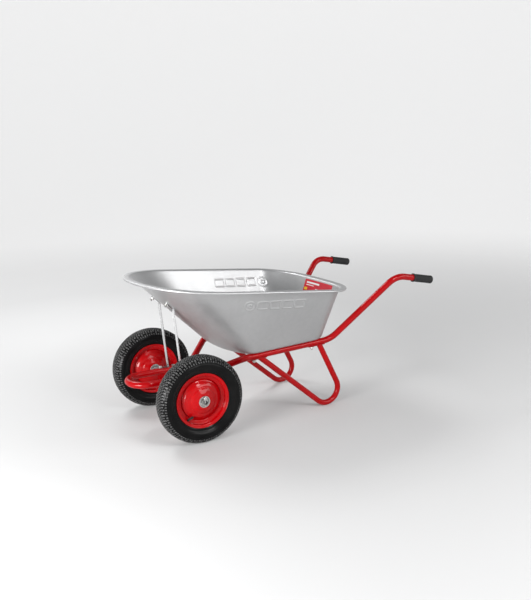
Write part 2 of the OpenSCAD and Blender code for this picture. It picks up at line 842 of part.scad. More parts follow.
module tyre(side) {
    outer_r = tyre_d / 2;
    half_w = tyre_w / 2;
    crown_r = 120;
    wall_t = 8;
    section_mid = outer_r - 41;
    color(black) at_wheel(side) rotate_extrude() difference() {
        intersection() {
            translate([outer_r - crown_r, 0]) circle(r = crown_r);
            translate([section_mid - 1, 0]) circle(r = half_w + 5);
            translate([0, -half_w]) square([300, tyre_w]);
        }
        translate([0, -half_w]) square([seat_r + rim_t / 2 + 0.1, tyre_w]);
        for (face = [0, 1]) mirror([0, face]) {
            translate([0, 21.5]) square([seat_r + 2.8, 10]);
            translate([0, 25]) square([rim_r + 1, half_w]);
        }
        translate([section_mid, 0]) circle(r = half_w - wall_t);
        translate([0, -15]) square([outer_r - 50, 30]);
    }
}

module inner_tube(side) {
    tube_mid = tyre_d / 2 - 41;
    color(black) at_wheel(side) rotate_extrude() translate([tube_mid, 0]) difference() {
        circle(r = 31.5);
        circle(r = 30);
    }
}

module valve_stem(side) {
    color(black) at_valve(side) {
        cylinder(r = 4.05, h = valve_len);
        translate([0, 0, 8.9]) cylinder(r1 = 6, r2 = 5, h = 5);
    }
}

module valve_cap(side) {
    color(black) at_valve(side) translate([0, 0, valve_len + 0.05]) cylinder(r = 4.6, h = 9);
}

module bearing_inner_left() {
    bearing_inner(LEFT);
}

module bearing_inner_right() {
    bearing_inner(RIGHT);
}

module spacer_left() {
    spacer(LEFT);
}

module spacer_right() {
    spacer(RIGHT);
}

module tyre_left() {
    tyre(LEFT);
}

module tyre_right() {
    tyre(RIGHT);
}

module inner_tube_left() {
    inner_tube(LEFT);
}

module inner_tube_right() {
    inner_tube(RIGHT);
}

module rim_hoop_left() {
    rim_hoop(LEFT);
}

module rim_hoop_right() {
    rim_hoop(RIGHT);
}

module hub_left() {
    hub(LEFT);
}

module hub_right() {
    hub(RIGHT);
}

module bearing_outer_left() {
    bearing_outer(LEFT);
}

module bearing_outer_right() {
    bearing_outer(RIGHT);
}

module bearing_balls_left() {
    bearing_balls(LEFT);
}

module bearing_balls_right() {
    bearing_balls(RIGHT);
}

module valve_stem_left() {
    valve_stem(LEFT);
}

module valve_stem_right() {
    valve_stem(RIGHT);
}

module valve_cap_left() {
    valve_cap(LEFT);
}

module valve_cap_right() {
    valve_cap(RIGHT);
}

module disc_outer_left() {
    disc(LEFT, 1);
}

module disc_outer_right() {
    disc(RIGHT, 1);
}

module disc_inner_left() {
    disc(LEFT, -1);
}

module disc_inner_right() {
    disc(RIGHT, -1);
}

tray();
rim_wire();
label();
frame_tube();
leg_left();
leg_right();
grip_left();
grip_right();
stay_left();
stay_right();
stay_bolts();
stay_nuts();
tray_bolts();
tray_washers();
tray_nuts();
axle();
axle_saddle_left();
axle_saddle_right();
axle_strap_left();
axle_strap_right();
axle_bolts();
axle_nuts();
axle_collars();
hub_washers();
split_pins();
bearing_inner_left();
bearing_inner_right();
spacer_left();
spacer_right();
tyre_left();
tyre_right();
inner_tube_left();
inner_tube_right();
rim_hoop_left();
rim_hoop_right();
disc_outer_left();
disc_outer_right();
disc_inner_left();
disc_inner_right();
hub_left();
hub_right();
bearing_outer_left();
bearing_outer_right();
bearing_balls_left();
bearing_balls_right();
valve_stem_left();
valve_stem_right();
valve_cap_left();
valve_cap_right();
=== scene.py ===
"""Looks of the two-wheel barrow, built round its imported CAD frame.

Shapes are in millimetres, measured from the axle (X), the middle plane (Y) and the ground (Z), and
row() turns them into the row frame's metres. The fasteners, the floor, the lights and the distances
in the materials are in the metres of that frame.
"""

import json
import math
import random

import bmesh
import bpy
import numpy as np
from mathutils import Matrix, Vector


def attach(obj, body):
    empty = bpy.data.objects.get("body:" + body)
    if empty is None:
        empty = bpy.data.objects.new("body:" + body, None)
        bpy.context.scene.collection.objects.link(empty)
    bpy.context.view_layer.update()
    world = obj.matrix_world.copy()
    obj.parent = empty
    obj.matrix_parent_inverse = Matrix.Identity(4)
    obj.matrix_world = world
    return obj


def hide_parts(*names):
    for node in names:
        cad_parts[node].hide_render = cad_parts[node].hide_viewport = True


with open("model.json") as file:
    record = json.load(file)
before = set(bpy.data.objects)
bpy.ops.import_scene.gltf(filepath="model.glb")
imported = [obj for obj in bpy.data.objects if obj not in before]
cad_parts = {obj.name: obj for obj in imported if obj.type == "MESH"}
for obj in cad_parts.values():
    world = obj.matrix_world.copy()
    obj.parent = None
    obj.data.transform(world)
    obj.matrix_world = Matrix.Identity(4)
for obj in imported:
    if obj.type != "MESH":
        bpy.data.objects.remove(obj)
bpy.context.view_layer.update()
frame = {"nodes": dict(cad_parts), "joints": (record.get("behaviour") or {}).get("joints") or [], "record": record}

MM = 0.001
SIDES = {"left": -1, "right": 1}
WHEEL_BODY = {"left": "wheel_left", "right": "wheel_right"}
axle = Vector(frame["joints"][0]["pos_m"])
axle_z = axle.z / MM
wheel_y = abs(axle.y) / MM
random.seed(7)


def row(points):
    """Millimetres from the axle, the middle plane and the ground, to the row frame's metres."""
    return np.asarray(points, float) * MM + np.array([axle.x, 0, 0])


# ---- camera ----

CAMERA_AT = (-1126, -2789, 1173)
CAMERA_TURN = {"yaw": 30.0, "pitch": 16.18, "roll": -1.6}


def make_camera():
    """The photograph's viewing angle, from a camera that was fitted to the wheels, frame and legs."""
    yaw, pitch, roll = (math.radians(a) for a in CAMERA_TURN.values())
    level = math.cos(pitch)
    look = Vector((math.sin(yaw) * level, math.cos(yaw) * level, -math.sin(pitch)))
    right = Vector((math.cos(yaw), -math.sin(yaw), 0))
    up = right.cross(look)
    turned_right = right * math.cos(roll) + up * math.sin(roll)
    turned_up = up * math.cos(roll) - right * math.sin(roll)
    lens = bpy.data.cameras.new("camera")
    lens.lens = 44.2
    lens.shift_x = -0.0108
    lens.shift_y = 0.0833
    lens.clip_end = 60
    camera = bpy.data.objects.new("camera", lens)
    bpy.context.scene.collection.objects.link(camera)
    turn = Matrix((turned_right, turned_up, -look)).transposed().to_4x4()
    camera.matrix_world = Matrix.Translation(Vector(row(CAMERA_AT))) @ turn
    bpy.context.scene.camera = camera


make_camera()

# ---- materials ----

# Tyre section: radius over the tread, then radius and centre of its crown arc and of its side arc,
# and half its width
TYRE_R, CROWN_R, CROWN_AT, SECTION_R, SECTION_AT = 180, 120, 60, 46, 138
TYRE_HALF_W = 41


class Finish:
    """A node-based material under construction: a shader, and helpers that feed it."""

    def __init__(self, name, color, metallic=0.0, roughness=0.5, coat=0.0, coat_roughness=0.05):
        self.material = bpy.data.materials.new(name)
        self.material.use_nodes = True
        self.tree = self.material.node_tree
        self.shader = self.tree.nodes["Principled BSDF"]
        self.set("Base Color", (*color, 1))
        self.set("Metallic", metallic)
        self.set("Roughness", roughness)
        self.set("Coat Weight", coat)
        self.set("Coat Roughness", coat_roughness)
        self.coords = self.tree.nodes.new("ShaderNodeTexCoord")

    def set(self, socket, value):
        self.shader.inputs[socket].default_value = value

    def link(self, a, b):
        self.tree.links.new(a, b)

    def place(self, stretch=(1, 1, 1), source="Object"):
        node = self.tree.nodes.new("ShaderNodeMapping")
        node.inputs["Scale"].default_value = stretch
        self.link(self.coords.outputs[source], node.inputs["Vector"])
        return node.outputs["Vector"]

    def noise(self, scale, detail=3, stretch=(1, 1, 1)):
        node = self.tree.nodes.new("ShaderNodeTexNoise")
        node.inputs["Scale"].default_value = scale
        node.inputs["Detail"].default_value = detail
        self.link(self.place(stretch), node.inputs["Vector"])
        return node.outputs["Fac"]

    def cells(self, scale):
        """A random grey for each cell."""
        node = self.tree.nodes.new("ShaderNodeTexVoronoi")
        node.inputs["Scale"].default_value = scale
        self.link(self.place(), node.inputs["Vector"])
        gray = self.tree.nodes.new("ShaderNodeRGBToBW")
        self.link(node.outputs["Color"], gray.inputs["Color"])
        return gray.outputs["Val"]

    def math(self, kind, a, b=None, c=None):
        node = self.tree.nodes.new("ShaderNodeMath")
        node.operation = kind
        for socket, value in zip(node.inputs, (a, b, c)):
            if value is None:
                continue
            if isinstance(value, (int, float)):
                socket.default_value = value
            else:
                self.link(value, socket)
        return node.outputs[0]

    def distance(self, a, b):
        square_a = self.math("MULTIPLY", a, a)
        square_b = self.math("MULTIPLY", b, b)
        return self.math("SQRT", self.math("ADD", square_a, square_b))

    def spread(self, value, low, high, start=0.3, stop=0.7):
        """Low where the value is at start, high where it is at stop, and even between them."""
        node = self.tree.nodes.new("ShaderNodeMapRange")
        for socket, number in zip(list(node.inputs)[1:5], (start, stop, low, high)):
            socket.default_value = number
        self.link(value, node.inputs["Value"])
        return node.outputs["Result"]

    def mix(self, share, first, second):
        node = self.tree.nodes.new("ShaderNodeMix")
        node.data_type = "RGBA"
        for socket, value in ((node.inputs["A"], first), (node.inputs["B"], second)):
            if isinstance(value, tuple):
                socket.default_value = (*value, 1)
            else:
                self.link(value, socket)
        self.link(share, node.inputs["Factor"])
        return node.outputs["Result"]

    def color(self, value):
        self.link(value, self.shader.inputs["Base Color"])

    def rough(self, value):
        self.link(value, self.shader.inputs["Roughness"])

    def bump(self, height, strength, depth_mm=0.2, coat=False):
        node = self.tree.nodes.new("ShaderNodeBump")
        node.inputs["Strength"].default_value = strength
        node.inputs["Distance"].default_value = depth_mm * MM
        self.link(height, node.inputs["Height"])
        self.link(node.outputs["Normal"], self.shader.inputs["Normal"])
        if coat:
            self.link(node.outputs["Normal"], self.shader.inputs["Coat Normal"])


def galvanised(name, tone, roughness, spangle, metallic=1.0):
    """Zinc-coated sheet: faint crystal spangle, drawing marks and dull patches."""
    f = Finish(name, (tone, tone, tone), metallic=metallic, roughness=roughness)
    f.set("Specular IOR Level", 0.2)
    crystal = f.cells(spangle)
    patch = f.noise(6, 4)
    light = tuple(tone * k for k in (1.05, 1.055, 1.06))
    dark = tuple(tone * k for k in (0.93, 0.935, 0.945))
    share = f.math("MULTIPLY_ADD", f.spread(patch, -0.25, 0.25), 1.0, f.spread(crystal, 0.3, 0.7, 0, 1))
    f.color(f.mix(share, dark, light))
    scratch = f.noise(90, 2, (1, 1, 9))
    dulled = f.spread(patch, roughness - 0.05, roughness + 0.04)
    f.rough(f.math("ADD", dulled, f.spread(scratch, -0.02, 0.03)))
    f.bump(f.math("ADD", f.math("MULTIPLY", crystal, 0.5), scratch), 0.12, 0.05)
    return f.material


def red_paint(name, color, roughness):
    """Glossy red paint: slow orange peel under a thin clear coat, with slightly uneven cover."""
    f = Finish(name, color, roughness=roughness, coat=0.36, coat_roughness=0.04)
    f.set("Specular IOR Level", 0.04)
    cover = f.noise(9, 4)
    deep = tuple(c * 0.84 for c in color)
    f.color(f.mix(f.spread(cover, 0, 1), deep, color))
    f.rough(f.spread(f.noise(40, 3), roughness - 0.06, roughness + 0.08))
    f.bump(f.noise(260, 1), 0.10, 0.12, coat=True)
    return f.material


def rubber(name, tone, roughness, grain, strength):
    """Moulded black rubber: fine grain, with a thin grey bloom."""
    f = Finish(name, (tone, tone, tone), roughness=roughness)
    f.set("Specular IOR Level", 0.15)
    bloom = f.noise(14, 5)
    clean = (tone, tone, tone * 1.03)
    bloomed = (tone * 1.6, tone * 1.6, tone * 1.6)
    f.color(f.mix(f.spread(bloom, 0, 1), clean, bloomed))
    f.rough(f.spread(bloom, roughness - 0.05, roughness + 0.10))
    f.bump(f.noise(grain, 3), strength, 0.15)
    return f.material


def tyre_rubber(name):
    """Tyre rubber: glossy dark sidewalls, black grooves, and light dusty specks on the faces of the tread blocks,
    made brighter as painted glints.
    """
    f = Finish(name, (0.006, 0.006, 0.006), roughness=0.32)
    f.set("Specular IOR Level", 0.09)
    axes = f.tree.nodes.new("ShaderNodeSeparateXYZ")
    f.link(f.place(), axes.inputs["Vector"])
    ahead = f.math("SUBTRACT", axes.outputs["X"], axle.x)
    above = f.math("SUBTRACT", axes.outputs["Z"], axle.z)
    beside = f.math("SUBTRACT", f.math("ABSOLUTE", axes.outputs["Y"]), wheel_y * MM)
    reach = f.distance(ahead, above)
    from_crown = f.distance(f.math("SUBTRACT", reach, CROWN_AT * MM), beside)
    under_crown = f.math("SUBTRACT", CROWN_R * MM, from_crown)
    from_section = f.distance(f.math("SUBTRACT", reach, SECTION_AT * MM), beside)
    under_side = f.math("SUBTRACT", SECTION_R * MM, from_section)
    face = f.spread(f.math("MINIMUM", under_crown, under_side), 1, 0, 0.0006, 0.0016)
    tread_top = f.math("MULTIPLY", face, f.spread(reach, 0, 1, 0.150, 0.158))
    # Specks on the tread faces: dirt, and painted glints that stand in for the rubber's own highlights.
    dust_glint_speck = f.spread(f.noise(260, 4), 0.15, 1, 0.42, 0.66)
    black, faded, dust_and_glint = (0.003, 0.003, 0.0031), (0.006, 0.006, 0.006), (0.13, 0.13, 0.13)
    base = f.mix(f.spread(f.noise(14, 5), 0, 1), black, faded)
    # Painted glints: the tread faces are lifted to a light grey in specks.
    f.color(f.mix(f.math("MULTIPLY", tread_top, dust_glint_speck), base, dust_and_glint))
    f.rough(f.math("MULTIPLY_ADD", tread_top, 0.2, f.spread(f.noise(60, 3), 0.15, 0.21)))
    f.bump(f.noise(420, 3), 0.2, 0.12)
    return f.material


def bare_steel(name, tone, roughness, tint=(1, 1, 1)):
    """Turned or plated steel with a film of oil and small marks."""
    base = tuple(tone * t for t in tint)
    f = Finish(name, base, metallic=1.0, roughness=roughness)
    film = f.noise(70, 5)
    f.color(f.mix(f.spread(film, 0, 1), tuple(0.72 * c for c in base), base))
    f.rough(f.spread(f.noise(160, 3), roughness - 0.07, roughness + 0.10))
    f.bump(f.noise(600, 2), 0.15, 0.04)
    return f.material


def box_mask(f, u, v, low, high, edge=0.006):
    """1 inside the rectangle from low to high, with soft edges, and 0 outside it."""
    inside = None
    for value, a, b in ((u, low[0], high[0]), (v, low[1], high[1])):
        for start, stop in ((a - edge, a + edge), (b + edge, b - edge)):
            side = f.spread(value, 0, 1, start, stop)
            inside = side if inside is None else f.math("MULTIPLY", inside, side)
    return inside


def label_print(name):
    """Glossy red label with plain white bars and a yellow block, and no lettering."""
    f = Finish(name, (0.62, 0.004, 0.02), roughness=0.28, coat=0.25)
    f.set("Specular IOR Level", 0.2)
    uv = f.tree.nodes.new("ShaderNodeSeparateXYZ")
    f.link(f.place(source="UV"), uv.inputs["Vector"])
    u, v = uv.outputs["X"], uv.outputs["Y"]
    white, yellow, dark = (0.85, 0.85, 0.84), (0.9, 0.55, 0.03), (0.20, 0.003, 0.01)
    deep, bright = (0.56, 0.003, 0.018), (0.66, 0.005, 0.024)
    shade = f.mix(f.spread(f.noise(30, 3), 0, 1), deep, bright)
    blocks = [
        ((0.07, 0.84), (0.52, 0.91), white),
        ((0.07, 0.76), (0.34, 0.79), white),
        ((0.03, 0.56), (0.13, 0.67), yellow),
        ((0.42, 0.62), (0.62, 0.68), white),
        ((0.07, 0.20), (0.90, 0.44), dark),
    ]
    for low, high, paint in blocks:
        shade = f.mix(box_mask(f, u, v, low, high), shade, paint)
    f.color(shade)
    f.bump(f.noise(120, 2), 0.05, 0.05)
    return f.material


FRAME_RED, RIM_RED = (0.31, 0.0006, 0.002), (0.33, 0.0006, 0.002)
FINISHES = {
    "galvanised_sheet": galvanised("galvanised_sheet", 0.46, 0.47, 75, metallic=0.88),
    "galvanised_strip": galvanised("galvanised_strip", 0.62, 0.26, 120),
    "zinc_fastener": bare_steel("zinc_fastener", 0.66, 0.30, (1, 0.99, 0.96)),
    "frame_paint": red_paint("frame_paint", FRAME_RED, 0.32),
    "rim_paint": red_paint("rim_paint", RIM_RED, 0.28),
    "steel": bare_steel("steel", 0.42, 0.34),
    "tyre_rubber": tyre_rubber("tyre_rubber"),
    "tube_rubber": rubber("tube_rubber", 0.016, 0.40, 300, 0.15),
    "grip_rubber": rubber("grip_rubber", 0.014, 0.50, 500, 0.35),
    "valve_plastic": rubber("valve_plastic", 0.012, 0.36, 700, 0.10),
    "label_print": label_print("label_print"),
}


def paint_cad_nodes():
    """Gives every CAD node the material that its slot names."""
    slots = {part["node"]: part["material_slot"] for part in frame["record"]["subparts"]}
    for node, obj in frame["nodes"].items():
        obj.data.materials.clear()
        obj.data.materials.append(FINISHES[slots[node]])


paint_cad_nodes()

# ---- mesh making ----


def piece(name, points, faces, body, slot, sharp_deg=35, in_row_frame=False):
    """A new mesh piece from points in millimetres, or in the row frame's metres.

    Points in the same place are joined.
    """
    mesh = bpy.data.meshes.new(name)
    where = np.asarray(points, float) if in_row_frame else row(points)
    mesh.from_pydata(where.tolist(), [], [tuple(f) for f in faces])
    bm = bmesh.new()
    bm.from_mesh(mesh)
    bmesh.ops.remove_doubles(bm, verts=bm.verts, dist=1e-7)
    bmesh.ops.recalc_face_normals(bm, faces=bm.faces)
    bm.to_mesh(mesh)
    bm.free()
    mesh.shade_smooth()
    mesh.set_sharp_from_angle(angle=math.radians(sharp_deg))
    mesh.materials.append(FINISHES[slot])
    obj = bpy.data.objects.new(name, mesh)
    bpy.context.scene.collection.objects.link(obj)
    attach(obj, body)
    return obj


def grid_faces(rows, cols, wrap_rows=False, wrap_cols=False, first=0):
    """Quads over a grid of points stored row by row, from point number first on."""
    down = range(rows if wrap_rows else rows - 1)
    along = range(cols if wrap_cols else cols - 1)
    return [
        (
            first + i * cols + j,
            first + i * cols + (j + 1) % cols,
            first + ((i + 1) % rows) * cols + (j + 1) % cols,
            first + ((i + 1) % rows) * cols + j,
        )
        for i in down
        for j in along
    ]


class Build:
    """Points and faces of one piece, gathered from several closed shapes."""

    def __init__(self):
        self.points = []
        self.faces = []

    def add(self, points, faces):
        first = len(self.points)
        self.points.extend(np.asarray(points, float).tolist())
        self.faces.extend(tuple(first + k for k in f) for f in faces)

    def done(self, name, body, slot, **options):
        return piece(name, self.points, self.faces, body, slot, **options)


def smooth_line(points, step):
    """A curve through the points, sampled about every step."""
    p = np.asarray(points, float)
    padded = np.vstack([2 * p[0] - p[1], p, 2 * p[-1] - p[-2]])
    out = []
    for i in range(1, len(padded) - 2):
        a, b, c, d = padded[i - 1 : i + 3]
        square = 2 * a - 5 * b + 4 * c - d
        cube = 3 * b - a - 3 * c + d
        count = max(1, round(np.linalg.norm(c - b) / step))
        for t in np.arange(count) / count:
            out.append(0.5 * (2 * b + (c - a) * t + square * t**2 + cube * t**3))
    out.append(p[-1])
    return np.array(out)


def offset_line(line, distance):
    """The line moved sideways, to the left of its direction."""
    t = np.gradient(line, axis=0)
    t /= np.linalg.norm(t, axis=1)[:, None]
    return line + distance * np.stack([-t[:, 1], t[:, 0]], 1)


def sheet_loop(line, thickness):
    """Closed outline of a bent sheet that follows a line, with round edges."""
    a, b = offset_line(line, thickness / 2), offset_line(line, -thickness / 2)
    ends = []
    for end, way in ((line[-1], line[-1] - line[-2]), (line[0], line[0] - line[1])):
        ends.append(end + way / np.linalg.norm(way) * thickness * 0.4)
    return np.vstack([a, ends[0], b[::-1], ends[1]])


def full_turn(count):
    """The angles of a full turn, as a column."""
    return np.arange(count)[:, None] * 2 * math.pi / count


def wheel_points(side, radius, angle, height):
    """Points of a wheel in millimetres: height is along the axle, away from the barrow."""
    ahead, above = radius * np.cos(angle), axle_z + radius * np.sin(angle)
    return np.stack([ahead, side * (wheel_y + height), above], -1)


def turned_on_wheel(side, loop, segments):
    """A closed (radius, height) outline turned round the wheel's axis."""
    loop = np.asarray(loop, float)
    angle = full_turn(segments)
    r, h = loop[None, :, 0] + 0 * angle, loop[None, :, 1] + 0 * angle
    points = wheel_points(side, r, angle + 0 * r, h)
    return points.reshape(-1, 3), grid_faces(segments, len(loop), True, True)


def basis(axis):
    """Unit vectors: two square to the axis and to each other, then one along it."""
    z = np.asarray(axis, float) / np.linalg.norm(axis)
    helper = np.array([0, 0, 1.0]) if abs(z[2]) < 0.9 else np.array([1.0, 0, 0])
    x = np.cross(helper, z)
    x /= np.linalg.norm(x)
    return x, np.cross(z, x), z


def turned(origin, axis, line, segments, shape=lambda angle, r, h: r):
    """An open (radius, height) line turned round any axis, and closed where its ends lie on it."""
    x, y, z = basis(axis)
    line = np.asarray(line, float)
    angle = full_turn(segments)
    r = shape(angle, line[None, :, 0], line[None, :, 1])
    ring = r[..., None] * (np.cos(angle)[..., None] * x + np.sin(angle)[..., None] * y)
    points = np.asarray(origin, float) + ring + (line[None, :, 1, None] + 0 * r[..., None]) * z
    return points.reshape(-1, 3), grid_faces(segments, len(line), True, False)


# ---- tray ----

# Outlines in plan: front x, rear x, half width, half width at the rear, x of full width, roundness,
# corner length, corner width, bow of the rear edge
TOP = (-163, 720, 326, 336, 130, 2.05, 125, 190, 32)
BOTTOM = (198, 640, 218, 218, 300, 2.2, 75, 75, 8)
# How much of the outline's parameter u each stretch takes, and its columns of points
FRONT, SIDE, CORNER, EDGE = 14, 4, 8, 4
FRONT_COLUMNS, SIDE_COLUMNS, CORNER_COLUMNS, EDGE_COLUMNS = 78, 190, 48, 24
# Rows of points over the floor's fillet, the bend from wall to flange, and the rolled edge
FILLET_ROWS, FOLD_ROWS, CURL_ROWS = 8, 7, 15
# Rings of points on the floor, as shares of the way from its middle to its edge
FLOOR_SHARES = (0.25, 0.5, 0.75)
# Height of the rolled edge at the front, and its fall per millimetre of x
RIM_FRONT_Z, RIM_SLOPE = 630, 0.104
# Width of the flange, radius of the rolled edge, reach of the bend from wall to flange, reach of the
# floor's fillet and what the front adds to that, thickness of the sheet
FLANGE, BEAD, FOLD, FILLET, FRONT_FILLET, SHEET = 24, 4, 7, 13, 17, 1.2
# Centre line of a rail's straight run: x and z at its front end, then at its rear end
RAIL = (240, 291, 669, 304)
TUBE_R, FLOOR_GAP = 14, 0.05
# A place inside the tray, to tell outwards from inwards
INSIDE_X = 300


def outline(o, u):
    """Half of a tray outline, from the front tip (u 0) to the middle of the rear edge."""
    front_x, rear_x, half_w, rear_w, full_x, power, long, wide, bow = o
    a = np.radians(90 - 90 * np.clip(u / FRONT, 0, 1))
    side = np.clip((u - FRONT) / SIDE, 0, 1)
    b = np.radians(90 * np.clip((u - FRONT - SIDE) / CORNER, 0, 1))
    edge = np.clip((u - FRONT - SIDE - CORNER) / EDGE, 0, 1)
    on_front, on_side = u <= FRONT, u <= FRONT + SIDE
    front_part = full_x - (full_x - front_x) * np.sin(a) ** (2 / power)
    side_part = full_x + (rear_x - long - full_x) * side
    rear_part = rear_x - long + long * np.sin(b)
    x = np.where(on_front, front_part, np.where(on_side, side_part, rear_part))
    front_part = half_w * np.abs(np.cos(a)) ** (2 / power)
    side_part = half_w + (rear_w - half_w) * side
    rear_part = (rear_w - wide + wide * np.cos(b)) * (1 - edge)
    y = np.where(on_front, front_part, np.where(on_side, side_part, rear_part))
    x = x + bow * (1 - (y / half_w) ** 2) * np.clip((x - full_x) / (rear_x - full_x), 0, None)
    return np.stack([x, y], 1)


def rail_z(x):
    """Height of the rails' centre line."""
    return RAIL[1] + (RAIL[3] - RAIL[1]) / (RAIL[2] - RAIL[0]) * (x - RAIL[0])


def floor_z(x):
    """Height of the middle of the tray's floor, which lies on the rails."""
    return rail_z(x) + TUBE_R + SHEET / 2 + FLOOR_GAP


def bezier(a, b, c, count):
    """Rows of points that leave a, bend towards b and end at c."""
    t = np.linspace(0, 1, count)[:, None, None]
    return (1 - t) ** 2 * a + 2 * t * (1 - t) * b + t**2 * c


def whole(half):
    """Both halves of a ring of (x, y) points: out along the left side and back along the right."""
    left = half * np.array([1, -1])
    return np.vstack([left, half[-2:0:-1]])


# The pressed mark. Its middle is MARK_LEVEL of the way up the wall, and at MARK_X on each side wall
# with the way its pattern runs. A stroke's slope starts MARK_EDGE outside it and is MARK_SLOPE wide.
MARK_LEVEL, MARK_RISE, MARK_STROKE, MARK_EDGE, MARK_SLOPE = 0.765, 1.5, 5.0, 1.2, 2.2
MARK_X = {"left": (358, 1), "right": (474, -1)}
RING_AT, RINGS_R = -132, (22, 8)
FRAMES_AT, FRAME_HALF_W, FRAME_HALF_H = (-73, -16, 41, 98), 23, 18
# Only the sheet further out than this carries the mark
SIDE_WALL_Y = 200


def ring_distance(s, v, centre, radius):
    """Distance from a ring's line, negative inside it."""
    return np.hypot(s - centre, v) - radius


def box_distance(s, v, centre, half_w, half_h, corner=5):
    """Distance from a rounded frame's line, negative inside it."""
    x = np.abs(s - centre) - half_w + corner
    y = np.abs(v) - half_h + corner
    return np.hypot(np.maximum(x, 0), np.maximum(y, 0)) + np.minimum(np.maximum(x, y), 0) - corner


def pressed_mark(s, v):
    """Height of the pressed pattern: two rings, one in the other, then four rounded frames."""
    strokes = [ring_distance(s, v, RING_AT, r) for r in RINGS_R]
    strokes += [box_distance(s, v, c, FRAME_HALF_W, FRAME_HALF_H) for c in FRAMES_AT]
    height = np.zeros_like(s)
    for d in strokes:
        inside = (MARK_STROKE / 2 + MARK_EDGE - np.abs(d)) / MARK_SLOPE
        height = np.maximum(height, np.clip(inside, 0, 1))
    return MARK_RISE * height**2 * (3 - 2 * height)


def tray_columns():
    """Places round half of the tray, close together where the pressed pattern is."""
    side_end = FRONT + SIDE
    corner_end = side_end + CORNER
    front = np.linspace(0, FRONT, FRONT_COLUMNS, endpoint=False)
    side = np.linspace(FRONT, side_end, SIDE_COLUMNS, endpoint=False)
    corner = np.linspace(side_end, corner_end, CORNER_COLUMNS, endpoint=False)
    edge = np.linspace(corner_end, corner_end + EDGE, EDGE_COLUMNS)
    return np.concatenate([front, side, corner, edge])


def wall_levels():
    """Shares of the wall's height, close together where the pressed pattern is."""
    below = np.linspace(0.09, 0.66, 9, endpoint=False)
    marked = np.linspace(0.66, 0.87, 28)
    above = np.linspace(0.895, 0.955, 3)
    return np.concatenate([below, marked, above])


def tray_sheet():
    """Middle surface of the tray's sheet, as rows of points from the floor to the rolled edge.

    With it come the wall's height at each column and the number of columns in half of the tray.
    """
    u = tray_columns()
    top = whole(outline(TOP, u))
    bottom = whole(outline(BOTTOM, u))
    way = np.roll(top, -1, 0) - np.roll(top, 1, 0)
    out = np.stack([-way[:, 1], way[:, 0], 0 * way[:, 0]], 1)
    out /= np.linalg.norm(out, axis=1)[:, None]
    facing = out[:, 0] * (top[:, 0] - INSIDE_X) + out[:, 1] * top[:, 1]
    out *= np.sign(facing)[:, None]
    bead = np.column_stack([top, RIM_FRONT_Z - RIM_SLOPE * (top[:, 0] - TOP[0])])
    fold = bead - FLANGE * out + np.array([0, 0, BEAD])
    foot = np.column_stack([bottom, floor_z(bottom[:, 0])])
    up = fold - foot
    height = np.linalg.norm(up, axis=1)[:, None]
    up /= height
    fillet = FILLET + FRONT_FILLET * np.clip(-out[:, :1], 0, 1) ** 2
    inner = foot - fillet * out
    inner[:, 2] = floor_z(inner[:, 0])
    levels = wall_levels()[:, None, None]
    curl = np.radians(np.linspace(90, -170, CURL_ROWS))[:, None, None]
    rows = [
        bezier(inner, foot, foot + fillet * up, FILLET_ROWS),
        foot + levels * (fold - foot),
        bezier(fold - FOLD * up, fold, fold + FOLD * out, FOLD_ROWS),
        bead + BEAD * (np.cos(curl) * out + np.sin(curl) * np.array([0, 0, 1.0])),
    ]
    return np.concatenate(rows), height[:, 0], len(u)


def sheet_normals(rows):
    """Unit vectors square to the sheet, pointing out of the tray."""
    round_way = np.roll(rows, -1, 1) - np.roll(rows, 1, 1)
    up_way = np.gradient(rows, axis=0)
    n = np.cross(round_way, up_way)
    n /= np.linalg.norm(n, axis=2)[..., None]
    wall_row = FILLET_ROWS + 4
    points_out = np.dot(n[wall_row, 0], rows[wall_row, 0] - rows[0].mean(0)) >= 0
    return n if points_out else -n


def press_mark_into(rows, normals, height, half_count):
    """Pushes both sides of the sheet out where the pattern is, on the two side walls."""
    levels = wall_levels()
    wall = slice(FILLET_ROWS, FILLET_ROWS + len(levels))
    for name, (centre, way) in MARK_X.items():
        columns = slice(0, half_count) if name == "left" else slice(half_count, None)
        part = rows[wall, columns]
        s = (part[..., 0] - centre) * way
        v = (levels[:, None] - MARK_LEVEL) * height[None, columns]
        on_side = np.abs(part[..., 1]) > SIDE_WALL_Y
        rise = pressed_mark(s, v) * on_side
        part += normals[wall, columns] * rise[..., None]


def make_tray():
    """The tray as an outer and an inner skin with closed floors, joined along the rolled edge."""
    rows, height, half_count = tray_sheet()
    normals = sheet_normals(rows)
    press_mark_into(rows, normals, height, half_count)
    around = rows.shape[1]
    centre = rows[0].mean(0)
    outer = rows + normals * SHEET / 2
    inner = rows - normals * SHEET / 2
    points, faces, last_rows = [], [], []
    for skin, lift in ((outer, -SHEET / 2), (inner, SHEET / 2)):
        first = len(points)
        skin[0] = rows[0] + np.array([0, 0, lift])
        floor = [rows[0] * k + centre * (1 - k) for k in FLOOR_SHARES]
        for ring in floor:
            ring[:, 2] = floor_z(ring[:, 0]) + lift
        stack = np.concatenate([np.array(floor), skin])
        points += stack.reshape(-1, 3).tolist()
        faces += grid_faces(len(stack), around, False, True, first)
        middle = len(points)
        last_rows.append(middle - around)
        points.append([centre[0], centre[1], floor_z(centre[0]) + lift])
        faces += [(middle, first + j, first + (j + 1) % around) for j in range(around)]
    a, b = last_rows
    for j in range(around):
        after = (j + 1) % around
        faces.append((a + j, a + after, b + after, b + j))
    tray = piece("tray_sheet", points, faces, "barrow", "galvanised_sheet", sharp_deg=50)
    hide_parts("tray")
    return rows, normals, half_count


# The label's first row and its columns on either side of the rear wall's middle, and how far its two
# faces stand off the sheet
LABEL_FIRST_ROW = 14
LABEL_COLUMNS_NEAR, LABEL_COLUMNS_FAR = 24, 13
LABEL_BACK_GAP, LABEL_FRONT_GAP = 0.05, 0.35


